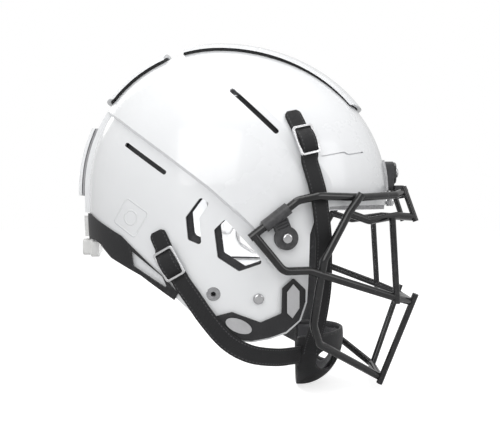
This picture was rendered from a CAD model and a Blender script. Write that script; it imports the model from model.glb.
import math

import bmesh
import bpy
from mathutils import Matrix, Vector


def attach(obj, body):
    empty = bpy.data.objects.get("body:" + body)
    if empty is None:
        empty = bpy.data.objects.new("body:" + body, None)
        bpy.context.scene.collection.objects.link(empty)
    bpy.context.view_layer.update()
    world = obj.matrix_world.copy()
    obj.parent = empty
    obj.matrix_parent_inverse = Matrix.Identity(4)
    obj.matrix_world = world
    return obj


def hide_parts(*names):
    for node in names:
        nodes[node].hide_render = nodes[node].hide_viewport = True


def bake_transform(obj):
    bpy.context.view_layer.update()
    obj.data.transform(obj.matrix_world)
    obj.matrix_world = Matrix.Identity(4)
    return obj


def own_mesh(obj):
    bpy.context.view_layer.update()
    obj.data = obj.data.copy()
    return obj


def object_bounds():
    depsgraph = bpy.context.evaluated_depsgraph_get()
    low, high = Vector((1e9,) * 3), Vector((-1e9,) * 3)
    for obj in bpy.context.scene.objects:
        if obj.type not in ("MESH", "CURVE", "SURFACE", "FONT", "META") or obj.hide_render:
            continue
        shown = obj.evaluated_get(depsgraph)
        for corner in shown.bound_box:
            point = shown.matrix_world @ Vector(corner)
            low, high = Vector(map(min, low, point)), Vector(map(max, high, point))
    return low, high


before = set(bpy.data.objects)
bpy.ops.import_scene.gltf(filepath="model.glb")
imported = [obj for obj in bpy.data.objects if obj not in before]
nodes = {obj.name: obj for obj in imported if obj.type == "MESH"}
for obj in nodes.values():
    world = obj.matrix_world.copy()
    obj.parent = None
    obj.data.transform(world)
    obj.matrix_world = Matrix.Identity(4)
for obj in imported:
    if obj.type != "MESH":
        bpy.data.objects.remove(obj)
cadLow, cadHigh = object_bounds()
scene = bpy.context.scene
print("frame in place:", len(nodes), "parts")


# small helpers for shader trees
def putNode(tree, kind, values=None, **settings):
    made = tree.nodes.new(kind)
    for key, value in settings.items():
        setattr(made, key, value)
    for socket, value in (values or {}).items():
        if isinstance(value, bpy.types.NodeSocket):
            tree.links.new(value, made.inputs[socket])
        else:
            made.inputs[socket].default_value = value
    return made


def newGroup(name, inputs, outputs):
    group = bpy.data.node_groups.new(name, "ShaderNodeTree")
    for label, kind, value in inputs:
        socket = group.interface.new_socket(label, in_out="INPUT", socket_type=kind)
        if value is not None:
            socket.default_value = value
    for label, kind in outputs:
        group.interface.new_socket(label, in_out="OUTPUT", socket_type=kind)
    return group, putNode(group, "NodeGroupInput"), putNode(group, "NodeGroupOutput")


def mathNode(tree, job, *values):
    return putNode(tree, "ShaderNodeMath", dict(enumerate(values)), operation=job).outputs[0]


def mixColour(tree, share, first, second):
    made = putNode(tree, "ShaderNodeMix", data_type="RGBA")
    for number, value in ((0, share), (6, first), (7, second)):
        if isinstance(value, bpy.types.NodeSocket):
            tree.links.new(value, made.inputs[number])
        else:
            made.inputs[number].default_value = value if number == 0 else (*value, 1)
    return made.outputs[2]


# moulded grain: a fine pebble over a slow ripple
grainGroup, gIn, gOut = newGroup(
    "mouldedGrain",
    [
        ("Vector", "NodeSocketVector", None), ("Scale", "NodeSocketFloat", 900.0),
        ("Ripple", "NodeSocketFloat", 0.4),
    ],
    [("Height", "NodeSocketFloat")],
)
pebble = putNode(
    grainGroup, "ShaderNodeTexVoronoi", {"Vector": gIn.outputs["Vector"], "Scale": gIn.outputs["Scale"]},
)
slow = mathNode(grainGroup, "MULTIPLY", gIn.outputs["Scale"], 0.06)
ripple = putNode(
    grainGroup, "ShaderNodeTexNoise", {"Vector": gIn.outputs["Vector"], "Scale": slow, "Detail": 2.0},
)
rippleShare = mathNode(grainGroup, "MULTIPLY", ripple.outputs["Fac"], gIn.outputs["Ripple"])
grainHeight = mathNode(grainGroup, "ADD", pebble.outputs["Distance"], rippleShare)
grainGroup.links.new(grainHeight, gOut.inputs["Height"])

# handling wear: soft rubs with finer scratches inside them
rubGroup, rIn, rOut = newGroup(
    "handlingRubs",
    [
        ("Vector", "NodeSocketVector", None), ("Scale", "NodeSocketFloat", 18.0),
        ("Amount", "NodeSocketFloat", 0.5),
    ],
    [("Mask", "NodeSocketFloat")],
)
area = putNode(
    rubGroup, "ShaderNodeTexNoise",
    {"Vector": rIn.outputs["Vector"], "Scale": rIn.outputs["Scale"], "Detail": 4.0, "Roughness": 0.6},
)
areaMask = putNode(
    rubGroup, "ShaderNodeMapRange", {"Value": area.outputs["Fac"], "From Min": 0.56, "From Max": 0.74},
    clamp=True,
)
drawn = putNode(
    rubGroup, "ShaderNodeMapping",
    {"Vector": rIn.outputs["Vector"], "Rotation": (0.3, 0.7, 0.2), "Scale": (60.0, 900.0, 240.0)},
)
hairs = putNode(
    rubGroup, "ShaderNodeTexNoise", {"Vector": drawn.outputs["Vector"], "Scale": 1.0, "Detail": 3.0},
)
hairMask = putNode(
    rubGroup, "ShaderNodeMapRange", {"Value": hairs.outputs["Fac"], "From Min": 0.52, "From Max": 0.66},
    clamp=True,
)
rubbed = mathNode(rubGroup, "MULTIPLY", areaMask.outputs[0], hairMask.outputs[0])
rubGroup.links.new(mathNode(rubGroup, "MULTIPLY", rubbed, rIn.outputs["Amount"]), rOut.inputs["Mask"])

# dust that settles on faces that look up
dustGroup, dIn, dOut = newGroup(
    "settledDust",
    [("Vector", "NodeSocketVector", None), ("Amount", "NodeSocketFloat", 0.1)],
    [("Mask", "NodeSocketFloat")],
)
facing = putNode(
    dustGroup, "ShaderNodeSeparateXYZ", {0: putNode(dustGroup, "ShaderNodeNewGeometry").outputs["Normal"]},
)
upward = putNode(
    dustGroup, "ShaderNodeMapRange", {"Value": facing.outputs["Z"], "From Min": 0.1, "From Max": 0.95},
    clamp=True,
)
motes = putNode(
    dustGroup, "ShaderNodeTexNoise",
    {"Vector": dIn.outputs["Vector"], "Scale": 240.0, "Detail": 5.0, "Roughness": 0.7},
)
moteMask = putNode(
    dustGroup, "ShaderNodeMapRange", {"Value": motes.outputs["Fac"], "From Min": 0.42, "From Max": 0.7},
    clamp=True,
)
settled = mathNode(dustGroup, "MULTIPLY", upward.outputs[0], moteMask.outputs[0])
dustGroup.links.new(mathNode(dustGroup, "MULTIPLY", settled, dIn.outputs["Amount"]), dOut.inputs["Mask"])

# plain weave on a UV map in metres
weaveGroup, wIn, wOut = newGroup(
    "plainWeave",
    [
        ("Vector", "NodeSocketVector", None), ("Along", "NodeSocketFloat", 2600.0),
        ("Across", "NodeSocketFloat", 4200.0),
    ],
    [("Height", "NodeSocketFloat"), ("Thread", "NodeSocketFloat")],
)
threadAxes = putNode(weaveGroup, "ShaderNodeSeparateXYZ", {0: wIn.outputs["Vector"]})
alongPhase = mathNode(weaveGroup, "MULTIPLY", threadAxes.outputs["X"], wIn.outputs["Along"])
acrossPhase = mathNode(weaveGroup, "MULTIPLY", threadAxes.outputs["Y"], wIn.outputs["Across"])
alongWave = mathNode(weaveGroup, "SINE", alongPhase)
acrossWave = mathNode(weaveGroup, "SINE", acrossPhase)
crossed = mathNode(weaveGroup, "MULTIPLY", alongWave, acrossWave)
ribs = mathNode(weaveGroup, "ABSOLUTE", acrossWave)
weaveHeight = mathNode(weaveGroup, "MULTIPLY_ADD", crossed, 0.45, ribs)
weaveGroup.links.new(weaveHeight, wOut.inputs["Height"])
threadShade = putNode(
    weaveGroup, "ShaderNodeMapRange", {"Value": weaveHeight, "From Min": 0.0, "From Max": 1.3}, clamp=True,
)
weaveGroup.links.new(threadShade.outputs[0], wOut.inputs["Thread"])

# bright worn corners, from how sharply the surface turns
edgeGroup, eIn, eOut = newGroup(
    "wornEdges",
    [("Vector", "NodeSocketVector", None), ("Amount", "NodeSocketFloat", 0.3)],
    [("Mask", "NodeSocketFloat")],
)
turnOf = putNode(edgeGroup, "ShaderNodeNewGeometry").outputs["Pointiness"]
sharp = putNode(
    edgeGroup, "ShaderNodeMapRange", {"Value": turnOf, "From Min": 0.53, "From Max": 0.62}, clamp=True,
)
chipped = putNode(
    edgeGroup, "ShaderNodeTexNoise", {"Vector": eIn.outputs["Vector"], "Scale": 320.0, "Detail": 4.0},
)
chipMask = putNode(
    edgeGroup, "ShaderNodeMapRange", {"Value": chipped.outputs["Fac"], "From Min": 0.45, "From Max": 0.6},
    clamp=True,
)
worn = mathNode(edgeGroup, "MULTIPLY", sharp.outputs[0], chipMask.outputs[0])
edgeGroup.links.new(mathNode(edgeGroup, "MULTIPLY", worn, eIn.outputs["Amount"]), eOut.inputs["Mask"])


def placeGroup(tree, group, vector, **values):
    made = putNode(tree, "ShaderNodeGroup", node_tree=group)
    tree.links.new(vector, made.inputs["Vector"])
    for label, value in values.items():
        made.inputs[label].default_value = value
    return made


# one finish from its own values; the steel, rubber, paint and liner finishes all come from here
def mouldedFinish(name, look, shaderValues):
    finish = bpy.data.materials.new(name)
    finish.use_nodes = True
    tree = finish.node_tree
    shader = tree.nodes["Principled BSDF"]
    for socket, value in shaderValues.items():
        shader.inputs[socket].default_value = value
    spot = putNode(tree, "ShaderNodeTexCoord").outputs["Object"]
    cloud = putNode(
        tree, "ShaderNodeTexNoise",
        {"Vector": spot, "Scale": look["patches"], "Detail": 5.0, "Roughness": 0.55},
    )
    even = putNode(
        tree, "ShaderNodeMapRange", {"Value": cloud.outputs["Fac"], "From Min": 0.35, "From Max": 0.68},
        clamp=True,
    )
    colour = mixColour(tree, even.outputs[0], look["colour"], look["second"])
    rubs = placeGroup(tree, rubGroup, spot, Scale=look["rubScale"], Amount=look["rubs"]).outputs["Mask"]
    colour = mixColour(tree, rubs, colour, look["rubColour"])
    edges = placeGroup(tree, edgeGroup, spot, Amount=look["edges"]).outputs["Mask"]
    colour = mixColour(tree, edges, colour, look["edgeColour"])
    dust = placeGroup(tree, dustGroup, spot, Amount=look["dust"]).outputs["Mask"]
    colour = mixColour(tree, dust, colour, look["dustColour"])
    tree.links.new(colour, shader.inputs["Base Color"])
    gloss = putNode(
        tree, "ShaderNodeMapRange",
        {
            "Value": cloud.outputs["Fac"], "From Min": 0.3, "From Max": 0.7, "To Min": look["smooth"],
            "To Max": look["rough"],
        },
        clamp=True,
    )
    dulled = mathNode(tree, "MULTIPLY_ADD", rubs, look["rubDull"], gloss.outputs[0])
    dulled = mathNode(tree, "MULTIPLY_ADD", dust, look["dustDull"], dulled)
    tree.links.new(dulled, shader.inputs["Roughness"])
    grain = placeGroup(tree, grainGroup, spot, Scale=look["grain"], Ripple=look["ripple"]).outputs["Height"]
    grain = mathNode(tree, "MULTIPLY_ADD", rubs, -look["rubWear"], grain)
    bump = putNode(
        tree, "ShaderNodeBump", {"Height": grain, "Strength": look["relief"], "Distance": look["depth"]},
    )
    tree.links.new(bump.outputs["Normal"], shader.inputs["Normal"])
    return finish, tree, shader, spot


def lookOf(colour, second, **more):
    look = {
        "colour": colour, "second": second, "patches": 14.0, "rubs": 0.3, "rubScale": 18.0,
        "rubColour": tuple(min(1.0, c * 1.5 + 0.03) for c in colour), "edges": 0.25,
        "edgeColour": tuple(min(1.0, c * 1.6 + 0.04) for c in colour), "dust": 0.06,
        "dustColour": (0.45, 0.43, 0.4), "smooth": 0.3, "rough": 0.42, "grain": 1400.0,
        "ripple": 0.5, "relief": 0.25, "depth": 0.0002, "rubDull": 0.35, "dustDull": 0.4, "rubWear": 0.6,
    }
    look.update(more)
    return look


shellLook = lookOf(
    (0.80, 0.81, 0.82), (0.74, 0.75, 0.765), patches=7.0, rubs=0.03, rubColour=(0.5, 0.5, 0.5), edges=0.05,
    edgeColour=(0.62, 0.62, 0.62), dust=0.05, dustColour=(0.6, 0.58, 0.54), smooth=0.2, rough=0.3,
    grain=420.0, ripple=1.2, relief=0.05, depth=0.0002,
)
shellPaint, shellTree, shellShader, shellSpot = mouldedFinish(
    "shellPaint", shellLook, {"Coat Weight": 0.55, "Coat Roughness": 0.06, "IOR": 1.47}
)
platePaint = mouldedFinish(
    "platePaint",
    dict(shellLook, patches=16.0, edges=0.35, rubs=0.3),
    {"Coat Weight": 0.4, "Coat Roughness": 0.1},
)[0]
napeWhite = mouldedFinish(
    "napeWhite",
    lookOf(
        (0.7, 0.7, 0.69), (0.62, 0.62, 0.61), rubs=0.4, rubColour=(0.35, 0.35, 0.34), smooth=0.35,
        rough=0.5,
    ),
    {},
)[0]
bumperRubber = mouldedFinish(
    "bumperRubber",
    lookOf(
        (0.017, 0.017, 0.018), (0.024, 0.024, 0.026), rubs=0.55, rubColour=(0.09, 0.09, 0.095),
        grain=1100.0, smooth=0.42, rough=0.55, relief=0.35,
    ),
    {"Specular IOR Level": 0.3},
)[0]
trimRubber = mouldedFinish(
    "trimRubber",
    lookOf(
        (0.42, 0.42, 0.43), (0.34, 0.34, 0.35), grain=1600.0, smooth=0.45, rough=0.6, relief=0.3,
    ),
    {},
)[0]
guardSkin = mouldedFinish(
    "guardSkin",
    lookOf(
        (0.02, 0.02, 0.021), (0.031, 0.031, 0.033), rubs=0.5, rubColour=(0.1, 0.1, 0.1), grain=780.0,
        ripple=1.1, smooth=0.38, rough=0.52, relief=0.5, depth=0.00035,
    ),
    {"Specular IOR Level": 0.3},
)[0]
barCoat = mouldedFinish(
    "barCoat",
    lookOf(
        (0.008, 0.008, 0.0085), (0.014, 0.014, 0.015), patches=40.0, rubs=0.35, rubScale=42.0,
        rubColour=(0.09, 0.09, 0.095), edges=0.2, grain=700.0, ripple=0.6, smooth=0.12, rough=0.2,
        relief=0.04, depth=0.0003,
    ),
    {"Coat Weight": 0.3, "Coat Roughness": 0.08, "Specular IOR Level": 0.4},
)[0]
clipPlastic = mouldedFinish(
    "clipPlastic",
    lookOf(
        (0.05, 0.05, 0.052), (0.075, 0.075, 0.078), rubs=0.5, smooth=0.32, rough=0.45, grain=1500.0,
    ),
    {"Specular IOR Level": 0.3},
)[0]
bracketDark = mouldedFinish(
    "bracketDark",
    lookOf(
        (0.03, 0.03, 0.032), (0.045, 0.045, 0.048), rubs=0.45, smooth=0.3, rough=0.42,
    ),
    {"Specular IOR Level": 0.3},
)[0]
bracketPale = mouldedFinish(
    "bracketPale",
    lookOf(
        (0.5, 0.5, 0.51), (0.4, 0.4, 0.41), rubs=0.4, rubColour=(0.2, 0.2, 0.2), smooth=0.35, rough=0.5,
    ),
    {},
)[0]
lensCover = mouldedFinish(
    "lensCover",
    lookOf(
        (0.01, 0.01, 0.012), (0.016, 0.016, 0.018), rubs=0.25, smooth=0.07, rough=0.16, relief=0.03,
    ),
    {"Coat Weight": 0.8, "Coat Roughness": 0.04},
)[0]
capPlastic = mouldedFinish(
    "capPlastic",
    lookOf(
        (0.022, 0.022, 0.023), (0.03, 0.03, 0.032), smooth=0.34, rough=0.46, grain=1800.0,
    ),
    {"Specular IOR Level": 0.3},
)[0]
cupSkin = mouldedFinish(
    "cupSkin",
    lookOf(
        (0.016, 0.016, 0.017), (0.028, 0.028, 0.03), patches=30.0, rubs=0.6, rubColour=(0.13, 0.13, 0.13),
        edges=0.4, edgeColour=(0.2, 0.2, 0.2), grain=900.0, smooth=0.34, rough=0.5, relief=0.45,
        depth=0.0003,
    ),
    {"Specular IOR Level": 0.3},
)[0]
gasketFoam = mouldedFinish(
    "gasketFoam",
    lookOf(
        (0.02, 0.02, 0.02), (0.032, 0.032, 0.033), grain=2600.0, ripple=0.2, smooth=0.65, rough=0.8,
        relief=0.6, depth=0.0002,
    ),
    {"Specular IOR Level": 0.3},
)[0]
linerSkin = mouldedFinish(
    "linerSkin",
    lookOf(
        (0.022, 0.022, 0.024), (0.036, 0.036, 0.039), patches=22.0, rubs=0.3, grain=640.0, ripple=1.6,
        smooth=0.42, rough=0.6, relief=0.55, depth=0.0005,
    ),
    {"Sheen Weight": 0.12, "Sheen Roughness": 0.5, "Specular IOR Level": 0.3},
)[0]
linerKnit = mouldedFinish(
    "linerKnit",
    lookOf(
        (0.72, 0.72, 0.73), (0.62, 0.62, 0.63), patches=30.0, rubs=0.2, rubColour=(0.3, 0.3, 0.3),
        dust=0.03, grain=520.0, ripple=0.3, smooth=0.7, rough=0.85, relief=0.8, depth=0.0005,
    ),
    {"Sheen Weight": 0.3, "Sheen Roughness": 0.4},
)[0]
trimBlack = mouldedFinish(
    "trimBlack",
    lookOf(
        (0.014, 0.014, 0.015), (0.022, 0.022, 0.024), rubs=0.5, rubColour=(0.1, 0.1, 0.1), edges=0.3,
        grain=1500.0, smooth=0.3, rough=0.44,
    ),
    {"Specular IOR Level": 0.4},
)[0]
paleFoam = mouldedFinish(
    "paleFoam",
    lookOf(
        (0.42, 0.42, 0.43), (0.36, 0.36, 0.37), grain=2600.0, ripple=0.2, smooth=0.65, rough=0.8,
        relief=0.5,
    ),
    {},
)[0]
brightSteel = mouldedFinish(
    "brightSteel",
    lookOf(
        (0.62, 0.62, 0.63), (0.5, 0.5, 0.51), patches=90.0, rubs=0.5, rubScale=120.0,
        rubColour=(0.35, 0.35, 0.36), dust=0.02, smooth=0.12, rough=0.22, grain=3000.0, relief=0.06,
        depth=0.0001,
    ),
    {"Metallic": 1.0},
)[0]
satinSteel = mouldedFinish(
    "satinSteel",
    lookOf(
        (0.46, 0.46, 0.47), (0.36, 0.36, 0.37), patches=120.0, rubs=0.5, rubScale=140.0,
        rubColour=(0.25, 0.25, 0.26), dust=0.03, smooth=0.28, rough=0.42, grain=2600.0, relief=0.12,
        depth=0.0001,
    ),
    {"Metallic": 1.0},
)[0]
buckleSteel = mouldedFinish(
    "buckleSteel",
    lookOf(
        (0.78, 0.78, 0.79), (0.66, 0.66, 0.67), patches=140.0, rubs=0.6, rubScale=160.0,
        rubColour=(0.4, 0.4, 0.41), dust=0.02, smooth=0.2, rough=0.32, grain=2600.0, relief=0.08,
        depth=0.0001,
    ),
    {"Metallic": 1.0},
)[0]
washerGrey = mouldedFinish(
    "washerGrey",
    lookOf(
        (0.36, 0.36, 0.37), (0.28, 0.28, 0.29), rubs=0.5, smooth=0.35, rough=0.5,
    ),
    {"Metallic": 0.6},
)[0]
labelPlate = mouldedFinish(
    "labelPlate",
    lookOf(
        (0.5, 0.5, 0.51), (0.46, 0.46, 0.47), patches=60.0, rubs=0.06, rubScale=70.0,
        rubColour=(0.6, 0.6, 0.61), edges=0.1, edgeColour=(0.75, 0.75, 0.75), smooth=0.28, rough=0.4,
        grain=2200.0, relief=0.12,
    ),
    {"Metallic": 0.35},
)[0]

# a plain raised badge outline pressed into the rear of both flanks
badge = {
    "centre": (-0.0785, -0.0025), "half": 0.0118, "corner": 0.0025, "line": 0.0008, "turn": -0.58,
    "ring": 0.0058, "height": 0.00045, "crest": 0.35,
}
flat = putNode(
    shellTree, "ShaderNodeMapping",
    {"Vector": shellSpot, "Location": (-badge["centre"][0], 0.0, -badge["centre"][1])},
)
turned = putNode(
    shellTree, "ShaderNodeMapping",
    {"Vector": flat.outputs["Vector"], "Rotation": (0.0, badge["turn"], 0.0)},
)
sides = putNode(shellTree, "ShaderNodeSeparateXYZ", {0: turned.outputs["Vector"]})


# how far a place lies past the straight part of the square's side
def pastStraight(place):
    beyond = mathNode(
        shellTree, "SUBTRACT", mathNode(shellTree, "ABSOLUTE", place), badge["half"] - badge["corner"],
    )
    return mathNode(shellTree, "MAXIMUM", beyond, 0.0)


# distance from a circle, which is also how a rounded corner is drawn
def fromCircle(across, up, radius):
    squared = mathNode(shellTree, "MULTIPLY", across, across)
    far = mathNode(shellTree, "SQRT", mathNode(shellTree, "MULTIPLY_ADD", up, up, squared))
    return mathNode(shellTree, "ABSOLUTE", mathNode(shellTree, "SUBTRACT", far, radius))


outline = fromCircle(pastStraight(sides.outputs["X"]), pastStraight(sides.outputs["Z"]), badge["corner"])
fromRing = fromCircle(sides.outputs["X"], sides.outputs["Z"], badge["ring"])
nearest = mathNode(shellTree, "MINIMUM", outline, fromRing)
raised = putNode(
    shellTree, "ShaderNodeMapRange",
    {
        "Value": nearest, "From Min": badge["line"] * badge["crest"], "From Max": badge["line"],
        "To Min": 1.0, "To Max": 0.0,
    },
    clamp=True,
)
oldBump = next(node for node in shellTree.nodes if node.bl_idname == "ShaderNodeBump")
badgeBump = putNode(
    shellTree, "ShaderNodeBump",
    {
        "Height": raised.outputs[0], "Strength": 0.8, "Distance": badge["height"],
        "Normal": oldBump.outputs["Normal"],
    },
)
shellTree.links.new(badgeBump.outputs["Normal"], shellShader.inputs["Normal"])

# woven strap, black, with two rows of lockstitch near its edges
weaveLook = {
    "colour": (0.006, 0.006, 0.0065), "thread": (0.024, 0.024, 0.026), "stitch": (0.06, 0.06, 0.063),
    "row": 0.0056, "rowHalf": 0.0005, "stitchPitch": 2100.0, "stitchLift": 1.2,
    "along": 3400.0, "across": 5200.0, "rubScale": 34.0, "rubs": 0.5, "rubColour": (0.09, 0.09, 0.092),
    "dust": 0.08, "dustColour": (0.4, 0.39, 0.37), "rough": 0.72, "smooth": 0.5, "relief": 0.55,
    "depth": 0.00025,
}
webbingWeave = bpy.data.materials.new("webbingWeave")
webbingWeave.use_nodes = True
tree = webbingWeave.node_tree
shader = tree.nodes["Principled BSDF"]
shader.inputs["Sheen Weight"].default_value = 0.04
shader.inputs["Specular IOR Level"].default_value = 0.3
shader.inputs["Sheen Roughness"].default_value = 0.45
run = putNode(tree, "ShaderNodeUVMap", uv_map="webbing").outputs["UV"]
spot = putNode(tree, "ShaderNodeTexCoord").outputs["Object"]
weave = placeGroup(tree, weaveGroup, run, Along=weaveLook["along"], Across=weaveLook["across"])
colour = mixColour(tree, weave.outputs["Thread"], weaveLook["colour"], weaveLook["thread"])
runAxes = putNode(tree, "ShaderNodeSeparateXYZ", {0: run})
offMiddle = mathNode(tree, "ABSOLUTE", runAxes.outputs["Y"])
fromRow = mathNode(tree, "ABSOLUTE", mathNode(tree, "SUBTRACT", offMiddle, weaveLook["row"]))
rowMask = putNode(
    tree, "ShaderNodeMapRange",
    {
        "Value": fromRow, "From Min": weaveLook["rowHalf"] * 0.5, "From Max": weaveLook["rowHalf"],
        "To Min": 1.0, "To Max": 0.0,
    },
    clamp=True,
).outputs[0]
dash = mathNode(tree, "SINE", mathNode(tree, "MULTIPLY", runAxes.outputs["X"], weaveLook["stitchPitch"]))
dashMask = putNode(
    tree, "ShaderNodeMapRange", {"Value": dash, "From Min": -0.35, "From Max": 0.0}, clamp=True,
).outputs[0]
stitchMask = mathNode(tree, "MULTIPLY", rowMask, dashMask)
colour = mixColour(tree, stitchMask, colour, weaveLook["stitch"])
rubs = placeGroup(
    tree, rubGroup, spot, Scale=weaveLook["rubScale"], Amount=weaveLook["rubs"],
).outputs["Mask"]
colour = mixColour(tree, rubs, colour, weaveLook["rubColour"])
dust = placeGroup(tree, dustGroup, spot, Amount=weaveLook["dust"]).outputs["Mask"]
colour = mixColour(tree, dust, colour, weaveLook["dustColour"])
tree.links.new(colour, shader.inputs["Base Color"])
dry = putNode(
    tree, "ShaderNodeMapRange",
    {"Value": weave.outputs["Thread"], "To Min": weaveLook["rough"], "To Max": weaveLook["smooth"]},
    clamp=True,
).outputs[0]
tree.links.new(dry, shader.inputs["Roughness"])
lift = mathNode(tree, "MULTIPLY_ADD", stitchMask, weaveLook["stitchLift"], weave.outputs["Height"])
bump = putNode(
    tree, "ShaderNodeBump",
    {"Height": lift, "Strength": weaveLook["relief"], "Distance": weaveLook["depth"]},
)
tree.links.new(bump.outputs["Normal"], shader.inputs["Normal"])
print("finishes mixed:", len(bpy.data.materials))


def dress(finish, *names):
    for name in names:
        mesh = nodes[name].data
        mesh.materials.clear()
        mesh.materials.append(finish)


dress(shellPaint, "shell")
dress(platePaint, "crown_plate_front", "crown_plate_rear", "crown_plate_back")
dress(napeWhite, "nape_plate", "nape_clips")
dress(bumperRubber, "nape_bumper")
dress(trimRubber, "brow_trim")
dress(guardSkin, "jaw_guard_right", "jaw_guard_left")
dress(labelPlate, "jaw_labels_oval", "jaw_labels_tall")
dress(washerGrey, "cheek_grommets")
dress(satinSteel, "inner_nuts", "snap_studs")
dress(
    barCoat, "top_rail", "middle_bar", "jaw_wire", "brow_bar", "upper_uprights", "lower_uprights",
    "centre_struts",
)
dress(clipPlastic, "side_clip_right", "side_clip_left")
dress(brightSteel, "shell_screws", "bracket_screws")
dress(bracketPale, "bracket_base")
dress(bracketDark, "bracket_block", "bracket_loop")
dress(lensCover, "bracket_cover")
dress(capPlastic, *[f"{end}_snap_cap_{side}" for end in ("front", "rear") for side in ("right", "left")])
dress(buckleSteel, *[f"{end}_buckle_{side}" for end in ("front", "rear") for side in ("right", "left")])
dress(cupSkin, "chin_cup")
print("hard parts dressed")


def wear(mesh, *finishes):
    mesh.materials.clear()
    for finish in finishes:
        mesh.materials.append(finish)
    for face in mesh.polygons:
        face.use_smooth = True


def newPiece(name, mesh, finish):
    piece = bpy.data.objects.new(name, mesh)
    scene.collection.objects.link(piece)
    wear(mesh, finish)
    return piece


weldWithin = 1e-5


# closed working copy of a part's mesh
def nodeShape(nodeName):
    shape = bmesh.new()
    shape.from_mesh(nodes[nodeName].data)
    bmesh.ops.remove_doubles(shape, verts=shape.verts, dist=weldWithin)
    bmesh.ops.recalc_face_normals(shape, faces=shape.faces)
    return shape


def meshFrom(shape, name):
    mesh = bpy.data.meshes.new(name)
    shape.to_mesh(mesh)
    shape.free()
    return mesh


def applyModifiers(piece):
    dg = bpy.context.evaluated_depsgraph_get()
    made = bpy.data.meshes.new_from_object(piece.evaluated_get(dg))
    piece.modifiers.clear()
    old = piece.data
    piece.data = made
    bpy.data.meshes.remove(old)


def addModifier(piece, kind, **settings):
    change = piece.modifiers.new("work", kind)
    for key, value in settings.items():
        setattr(change, key, value)


def meshWith(piece, kind, **settings):
    addModifier(piece, kind, **settings)
    applyModifiers(piece)


# even out the voxel steps, then draw the skin in
def relax(piece, times, share, drawIn=0.0):
    shape = bmesh.new()
    shape.from_mesh(piece.data)
    axes = {"use_axis_x": True, "use_axis_y": True, "use_axis_z": True}
    for _ in range(times):
        bmesh.ops.smooth_vert(shape, verts=shape.verts, factor=share, **axes)
    if drawIn:
        shape.normal_update()
        for vert in shape.verts:
            vert.co -= vert.normal * drawIn
    shape.to_mesh(piece.data)
    shape.free()


# route through knots, smooth, one station about every step
def smoothRoute(knots, step):
    stations = []
    for number in range(len(knots) - 1):
        before = knots[max(number - 1, 0)]
        here, there = knots[number], knots[number + 1]
        after = knots[min(number + 2, len(knots) - 1)]
        count = max(2, round((there[0] - here[0]).length / step))
        for k in range(count):
            t = k / count
            place = []
            for part in (0, 1):
                a, b, c, d = before[part], here[part], there[part], after[part]
                bow = (2 * a - 5 * b + 4 * c - d) * t * t
                place.append(0.5 * (2 * b + (c - a) * t + bow + (3 * b - a - 3 * c + d) * t ** 3))
            stations.append((place[0], place[1].normalized()))
    stations.append(knots[-1])
    return stations


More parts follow.
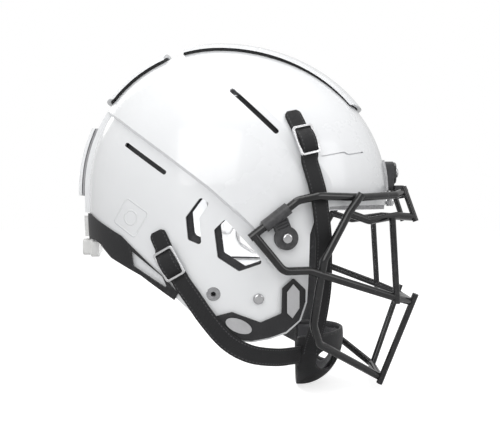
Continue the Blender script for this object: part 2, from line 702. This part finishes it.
# webbing straps: free run, up through the buckle, over its bar, and out as the tail
strapSet = {
    "width": 0.0145, "thick": 0.0017, "step": 0.0022, "across": 10, "crownRise": 0.00012,
    "edgeRound": 0.00045, "edgeSegments": 2, "edgeAngle": 50,
    "tip": 0.004, "tipRound": 0.005, "tipNarrow": 0.35,
    # from where to where a strap turns from the helmet's place to the snap's
    "frontBlend": ((0.0782, -0.099, -0.008), (0.0672, -0.1019, 0.0445)),
    "rearBlend": ((-0.0060, -0.1080, -0.0930), (-0.0362, -0.1088, -0.0500)),
    "frontSnap": {
        "centre": (0.0631, -0.09869, 0.0585), "out": (0.3943, -0.8796, 0.2662),
        "run": (0.3313, -0.1341, -0.9339),
    },
    "rearSnap": {
        "centre": (-0.0428, -0.10667, -0.0387), "out": (-0.2348, -0.9681, -0.0874),
        "run": (0.4841, -0.0385, -0.8742),
    },
    # distance down the buckle, and height above the shell
    "throughBuckle": [
        (-0.0112, 0.0023), (-0.0098, 0.0034), (-0.0076, 0.0052), (-0.0048, 0.0067), (0.0, 0.0073),
        (0.0048, 0.0067), (0.0076, 0.0052), (0.0098, 0.0034), (0.0112, 0.0023),
    ],
    "frontTail": [
        ((0.0530, -0.09409, 0.0840), (0.337, -0.828, 0.448)),
        ((0.0564, -0.09650, 0.0764), (0.355, -0.849, 0.392)),
        ((0.0592, -0.09795, 0.0705), (0.370, -0.860, 0.350)),
    ],
    "rearTail": [
        ((-0.0550, -0.10650, -0.0135), (-0.321, -0.946, -0.051)),
        ((-0.0512, -0.10722, -0.0220), (-0.294, -0.954, -0.063)),
        ((-0.0487, -0.10760, -0.0275), (-0.275, -0.959, -0.071)),
    ],
    "frontRun": [
        ((0.0675, -0.10200, 0.0430), (0.414, -0.897, 0.15)),
        ((0.0710, -0.10180, 0.0310), (0.435, -0.898, 0.065)),
        ((0.0738, -0.10074, 0.0210), (0.452, -0.892, -0.002)),
        ((0.0754, -0.09985, 0.0130), (0.462, -0.887, -0.014)),
        ((0.0768, -0.1012, 0.002), (0.5, -0.86, 0.0)), ((0.0783, -0.0986, -0.011), (0.45, -0.89, 0.0)),
        ((0.0793, -0.094, -0.021), (0.42, -0.9, -0.1)), ((0.0795, -0.089, -0.036), (0.35, -0.93, -0.2)),
        ((0.0795, -0.079, -0.062), (0.3, -0.9, -0.3)), ((0.076, -0.066, -0.092), (0.3, -0.8, -0.5)),
        ((0.0715, -0.0496, -0.113), (0.3, -0.9, -0.3)), ((0.070, -0.0474, -0.123), (0.17, -0.97, -0.2)),
    ],
    "rearRun": [
        ((-0.0365, -0.1088, -0.0498), (-0.19, -0.976, -0.103)),
        ((-0.0335, -0.10994, -0.0550), (-0.162, -0.98, -0.112)),
        ((-0.0260, -0.10978, -0.0655), (-0.106, -0.986, -0.128)),
        ((-0.0135, -0.10890, -0.0836), (-0.011, -0.987, -0.157)),
        ((0.0020, -0.10559, -0.1016), (0.077, -0.979, -0.189)),
        ((0.020, -0.1015, -0.112), (0.3, -0.95, 0.0)),
        ((0.040, -0.0845, -0.118), (0.55, -0.83, 0.0)), ((0.055, -0.0605, -0.1215), (0.75, -0.66, 0.0)),
        ((0.061, -0.0489, -0.1225), (0.3, -0.95, 0.0)),
    ],
}


def strapKnots(end):
    snap = strapSet[f"{end}Snap"]
    centre, out, down = Vector(snap["centre"]), Vector(snap["out"]), Vector(snap["run"])
    bend = [(centre + down * along + out * high, out) for along, high in strapSet["throughBuckle"]]
    tail = [(Vector(place), Vector(normal)) for place, normal in strapSet[f"{end}Tail"]]
    run = [(Vector(place), Vector(normal)) for place, normal in strapSet[f"{end}Run"]]
    return tail + bend + run


def layWebbing(name, knots, side):
    stations = smoothRoute(knots, strapSet["step"])
    rows = len(stations)
    shape = bmesh.new()
    bmesh.ops.create_grid(shape, x_segments=rows - 1, y_segments=strapSet["across"], size=1.0)
    uvLayer = shape.loops.layers.uv.new("webbing")
    lengths = [0.0]
    for a, b in zip(stations, stations[1:]):
        lengths.append(lengths[-1] + (b[0] - a[0]).length)
    half = strapSet["width"] / 2
    for face in shape.faces:
        for loop in face.loops:
            row = round((loop.vert.co.x + 1) / 2 * (rows - 1))
            loop[uvLayer].uv = (lengths[row], loop.vert.co.y * half)
    for vert in shape.verts:
        row = round((vert.co.x + 1) / 2 * (rows - 1))
        place, normal = stations[row]
        along = (stations[min(row + 1, rows - 1)][0] - stations[max(row - 1, 0)][0]).normalized()
        outward = (normal - along * normal.dot(along)).normalized()
        wide = outward.cross(along)
        share = vert.co.y
        narrow = 1.0
        if lengths[row] < strapSet["tip"]:  # rounded tip
            intoTip = (strapSet["tip"] - lengths[row]) / strapSet["tipRound"]
            narrow = math.sqrt(max(strapSet["tipNarrow"], 1 - intoTip ** 2))
        rise = strapSet["crownRise"] * (1 - share * share)
        spotHere = place + wide * (half * share * narrow) + outward * rise
        vert.co = Vector((spotHere.x, spotHere.y * side, spotHere.z))
    if side > 0:
        bmesh.ops.reverse_faces(shape, faces=shape.faces)
    piece = newPiece(name, meshFrom(shape, name), webbingWeave)
    addModifier(piece, "SOLIDIFY", thickness=strapSet["thick"], offset=0.0)
    edge = {"width": strapSet["edgeRound"], "segments": strapSet["edgeSegments"]}
    addModifier(
        piece, "BEVEL", limit_method="ANGLE", angle_limit=math.radians(strapSet["edgeAngle"]), **edge
    )
    applyModifiers(piece)
    wear(piece.data, webbingWeave)
    return piece


for end in ("front", "rear"):
    for side, word in ((1, "right"), (-1, "left")):
        strapPiece = layWebbing(f"{end}_webbing_{word}", strapKnots(end), side)
        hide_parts(f"{end}_strap_{word}", f"{end}_strap_tail_{word}")
        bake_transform(strapPiece)
print("webbing laid")


# stuffed pads: soft vinyl skins blown up a little inside their room
padSet = {
    "voxel": 0.0048, "shrink": 0.0018, "swell": 0.0018, "pressure": 4.0, "frames": 20, "tension": 12.0,
    "channelDepth": 0.0022, "channelWidth": 0.0028, "headMiddle": Vector((-0.005, 0.0, 0.02)),
    "knitFacing": -0.45, "smoothTimes": 3, "smoothShare": 0.5, "fill": 0.7,
}


def puffPad(nodeName, name, finish, room, channels=(), headSide=None):
    pad = newPiece(name, meshFrom(nodeShape(nodeName), name), finish)
    meshWith(pad, "REMESH", mode="VOXEL", voxel_size=room["voxel"], adaptivity=0.0)
    relax(pad, padSet["smoothTimes"], padSet["smoothShare"], room["shrink"])
    start = [vert.co.copy() for vert in pad.data.vertices]
    cloth = pad.modifiers.new("blow", "CLOTH")
    cloth.settings.use_pressure = True
    cloth.settings.uniform_pressure_force = padSet["pressure"]
    cloth.settings.tension_stiffness = padSet["tension"]
    cloth.settings.effector_weights.gravity = 0.0
    cloth.point_cache.frame_start = 1
    cloth.point_cache.frame_end = padSet["frames"]
    for number in range(1, padSet["frames"] + 1):
        scene.frame_set(number)
    applyModifiers(pad)
    for vert, old in zip(pad.data.vertices, start):
        move = vert.co - old
        if move.length > room["swell"]:
            vert.co = old + move.normalized() * room["swell"]
    scene.frame_set(1)
    meshWith(pad, "SUBSURF", levels=1, render_levels=1)
    if channels:
        pad.data.update()
        for vert in pad.data.vertices:
            deep = 0.0
            for axis, level in channels:
                away = abs(vert.co[axis] - level) / padSet["channelWidth"]
                deep = max(deep, math.exp(-away * away))
            vert.co -= vert.normal * (padSet["channelDepth"] * deep)
    wear(pad.data, finish, headSide or finish)
    for face in pad.data.polygons:
        outward = (face.center - padSet["headMiddle"]).normalized()
        face.material_index = int(face.normal.dot(outward) < padSet["knitFacing"])  # knit faces the head
    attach(pad, "helmet")
    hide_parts(nodeName)
    return pad


padPlan = {
    "side_pad_right": ("side_cushion_right", [(0, -0.046), (2, -0.006)]),
    "side_pad_left": ("side_cushion_left", [(0, -0.046), (2, -0.006)]),
    "jaw_pads": ("jaw_cushions", [(0, 0.021)]),
    "temple_pads": ("temple_cushions", [(0, 0.006)]),
    "crown_pad": ("crown_cushion", [(0, -0.03), (0, 0.018), (1, 0.0)]),
    "front_pad": ("front_cushion", [(1, -0.02), (1, 0.02)]),
    "back_pad": ("back_cushion", [(1, -0.02), (1, 0.02), (2, 0.042)]),
    "nape_pad": ("nape_cushion", [(1, -0.03), (1, 0.0), (1, 0.03)]),
}
for nodeName, (padName, channels) in padPlan.items():
    headSide = None if nodeName == "crown_pad" else linerKnit  # the crown pad is black all round
    pad = puffPad(nodeName, padName, linerSkin, padSet, channels, headSide)
    print("padded", padName, len(pad.data.polygons))

# thin stiff backing on the shell side of each side cushion
# it keeps the cushion's outline straight where the ear windows show it
backingSet = {"thick": 0.0015, "outward": 0.5}
for side, outward in (("right", -1), ("left", 1)):
    shape = nodeShape(f"side_pad_{side}")
    facingIn = [face for face in shape.faces if face.normal.y * outward < backingSet["outward"]]
    bmesh.ops.delete(shape, geom=facingIn, context="FACES")
    backing = newPiece(f"side_backing_{side}", meshFrom(shape, f"side_backing_{side}"), linerSkin)
    backing.data.materials.append(linerKnit)  # on the side that faces the head
    meshWith(backing, "SOLIDIFY", thickness=backingSet["thick"], offset=-1.0, material_offset=1)
    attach(backing, "helmet")
    print("backing", side, len(backing.data.polygons))

liningSet = {"voxel": 0.0022, "shrink": 0.0006, "swell": 0.0006, "fill": 0.8}
cupLining = puffPad("chin_cup_pad", "chin_cup_lining", linerSkin, liningSet)
print("cup lined", len(cupLining.data.polygons))

# foam gaskets under the crown plates, flattened as a plate is pressed
gasketSet = {"voxel": 0.001, "travel": 0.0012, "smoothTimes": 1, "smoothShare": 0.5, "fill": 1.0}
gasketPlan = {
    "front": ("plate_front_press", (-0.35, 0.0, -0.937)),
    "rear": ("plate_rear_press", (0.61, 0.0, -0.792)),
    "back": ("plate_back_press", (0.98, 0.0, -0.199)),
}
for place, (joint, press) in gasketPlan.items():
    nodeName = f"plate_cushion_{place}"
    gasketFinish = paleFoam if place == "back" else gasketFoam
    mesh = meshFrom(nodeShape(nodeName), f"crown_gasket_{place}")
    gasket = newPiece(f"crown_gasket_{place}", mesh, gasketFinish)
    meshWith(gasket, "REMESH", mode="VOXEL", voxel_size=gasketSet["voxel"], adaptivity=0.0)
    relax(gasket, gasketSet["smoothTimes"], gasketSet["smoothShare"])
    wear(gasket.data, gasketFinish)
    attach(gasket, "helmet")
    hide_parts(nodeName)
    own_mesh(gasket)

# piping round the open edges of the chin cup, and a bead round each side hole
cupSet = {
    "centre": (0.062, 0.0, -0.112), "size": (0.0398, 0.0468, 0.0458), "back": 0.0595, "rim": -0.1082,
    "rimRise": 0.06, "hole": (0.0857, -0.1305), "holeRadius": 0.0106, "bead": 0.0011, "holeBead": 0.8,
    "rimInset": 0.995, "rimSteps": 24, "holeSteps": 28,
}


def bentBead(name, points, thick, finish):
    line = bpy.data.curves.new(name, "CURVE")
    line.dimensions = "3D"
    line.bevel_depth = thick
    line.bevel_resolution = 3
    spline = line.splines.new("NURBS")
    spline.points.add(len(points) - 1)
    for knot, point in zip(spline.points, points):
        knot.co = (*point, 1)
    spline.order_u = 3
    spline.use_cyclic_u = True
    drawn = bpy.data.objects.new(name + "_line", line)
    scene.collection.objects.link(drawn)
    dg = bpy.context.evaluated_depsgraph_get()
    mesh = bpy.data.meshes.new_from_object(drawn.evaluated_get(dg))
    bpy.data.objects.remove(drawn)
    return newPiece(name, mesh, finish)


def onCup(x, z, side):
    cx, _, cz = cupSet["centre"]
    sx, sy, sz = cupSet["size"]
    return sy * math.sqrt(max(0.0, 1 - ((x - cx) / sx) ** 2 - ((z - cz) / sz) ** 2)) * side


cx, _, cz = cupSet["centre"]
sx, sy, sz = cupSet["size"]
rimLoop = []
rimSteps = cupSet["rimSteps"]
for number in range(rimSteps + 1):
    angle = math.radians(-90 + 180 * number / rimSteps)
    x = cupSet["back"] + (cx + sx - cupSet["back"]) * math.cos(angle) * cupSet["rimInset"]
    z = cupSet["rim"] + cupSet["rimRise"] * (x - cupSet["back"])
    rimLoop.append((x, onCup(x, z, math.copysign(1, math.sin(angle))), z))
for number in range(1, rimSteps):
    angle = math.radians(180 * number / rimSteps)
    y = sy * math.cos(angle)
    inside = 1 - ((cupSet["back"] - cx) / sx) ** 2 - (y / sy) ** 2
    rimLoop.append((cupSet["back"], y, min(cupSet["rim"], cz - sz * math.sqrt(max(0.0, inside)))))
piping = bentBead("cup_piping", rimLoop, cupSet["bead"], trimBlack)
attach(piping, "helmet")
for side, word in ((-1, "right"), (1, "left")):
    loop = []
    for number in range(cupSet["holeSteps"]):
        angle = math.tau * number / cupSet["holeSteps"]
        x = cupSet["hole"][0] + cupSet["holeRadius"] * math.cos(angle)
        z = cupSet["hole"][1] + cupSet["holeRadius"] * math.sin(angle)
        loop.append((x, onCup(x, z, side), z))
    bead = bentBead(f"cup_hole_bead_{word}", loop, cupSet["bead"] * cupSet["holeBead"], trimBlack)
    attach(bead, "helmet")
print("soft parts made")

# floor, light and camera
stageSet = {
    "floor": 6.0, "floorDrop": 0.0005, "floorGrey": 0.5, "floorRough": 0.9, "floorShine": 0.1,
    "floorGlow": 0.72, "worldSeen": 1.0, "worldLight": 0.6, "lampAim": Vector((0.02, 0, -0.02)),
    "cameraAt": (0.0449, -0.6543, 0.0), "aim": (0.0152, 0.0, 0.0), "lens": 49.6, "sensor": 36.0,
    "nearest": 0.01, "farthest": 50.0,
}
shape = bmesh.new()
level = Matrix.Translation((0, 0, cadLow.z - stageSet["floorDrop"]))
bmesh.ops.create_grid(shape, x_segments=2, y_segments=2, size=stageSet["floor"], matrix=level)
floorPaint = bpy.data.materials.new("floorPaint")
floorPaint.use_nodes = True
floorShader = floorPaint.node_tree.nodes["Principled BSDF"]
floorShader.inputs["Base Color"].default_value = (*[stageSet["floorGrey"]] * 3, 1)
floorShader.inputs["Roughness"].default_value = stageSet["floorRough"]
floorShader.inputs["Specular IOR Level"].default_value = stageSet["floorShine"]
floorShader.inputs["Emission Color"].default_value = (1, 1, 1, 1)
floorTree = floorPaint.node_tree
floorSeen = putNode(floorTree, "ShaderNodeLightPath").outputs["Is Camera Ray"]
glow = mathNode(floorTree, "MULTIPLY", floorSeen, stageSet["floorGlow"])
floorTree.links.new(glow, floorShader.inputs["Emission Strength"])
floor = newPiece("floor", meshFrom(shape, "floor"), floorPaint)

world = bpy.data.worlds.new("studio")
scene.world = world
world.use_nodes = True
worldTree = world.node_tree
worldTree.nodes.clear()
seen = putNode(
    worldTree, "ShaderNodeBackground", {"Color": (1, 1, 1, 1), "Strength": stageSet["worldSeen"]},
)
lit = putNode(
    worldTree, "ShaderNodeBackground", {"Color": (1, 1, 1, 1), "Strength": stageSet["worldLight"]},
)
worldRay = putNode(worldTree, "ShaderNodeLightPath").outputs["Is Camera Ray"]
which = putNode(worldTree, "ShaderNodeMixShader", {0: worldRay, 1: lit.outputs[0], 2: seen.outputs[0]})
putNode(worldTree, "ShaderNodeOutputWorld", {"Surface": which.outputs[0]})

lampSet = {
    "topSoft": {"at": (0.05, -0.25, 1.5), "size": 1.5, "power": 15.5},
    "nearSoft": {"at": (-0.3, -1.7, 0.75), "size": 1.3, "power": 13.0},
    "frontSoft": {"at": (1.5, -0.7, 0.55), "size": 0.9, "power": 4.5},
    "rimSoft": {"at": (-0.7, 1.2, 0.9), "size": 0.9, "power": 5.0},
}
for lampName, lamp in lampSet.items():
    data = bpy.data.lights.new(lampName, "AREA")
    data.shape = "SQUARE"
    data.size = lamp["size"]
    data.energy = lamp["power"]
    lampObject = bpy.data.objects.new(lampName, data)
    scene.collection.objects.link(lampObject)
    lampObject.location = lamp["at"]
    toAim = stageSet["lampAim"] - Vector(lamp["at"])
    lampObject.rotation_euler = toAim.to_track_quat("-Z", "Y").to_euler()

# a small fill in the hollow, so the liner shows through the ear windows
fillSet = {"at": (-0.005, -0.01, -0.02), "size": 0.03, "power": 0.5}
fillData = bpy.data.lights.new("hollowFill", "POINT")
fillData.energy = fillSet["power"]
fillData.shadow_soft_size = fillSet["size"]
fillLamp = bpy.data.objects.new("hollowFill", fillData)
scene.collection.objects.link(fillLamp)
fillLamp.location = fillSet["at"]
fillLamp.visible_camera = False
fillLamp.visible_glossy = False

cameraData = bpy.data.cameras.new("camera")
camera = bpy.data.objects.new("camera", cameraData)
scene.collection.objects.link(camera)
camera.location = stageSet["cameraAt"]
lookAlong = Vector(stageSet["aim"]) - Vector(stageSet["cameraAt"])
camera.rotation_euler = lookAlong.to_track_quat("-Z", "Y").to_euler()
cameraData.lens = stageSet["lens"]
cameraData.sensor_width = stageSet["sensor"]
cameraData.clip_start = stageSet["nearest"]
cameraData.clip_end = stageSet["farthest"]
scene.camera = camera
scene.view_settings.view_transform = "Standard"
print("stage set")

print("size written")
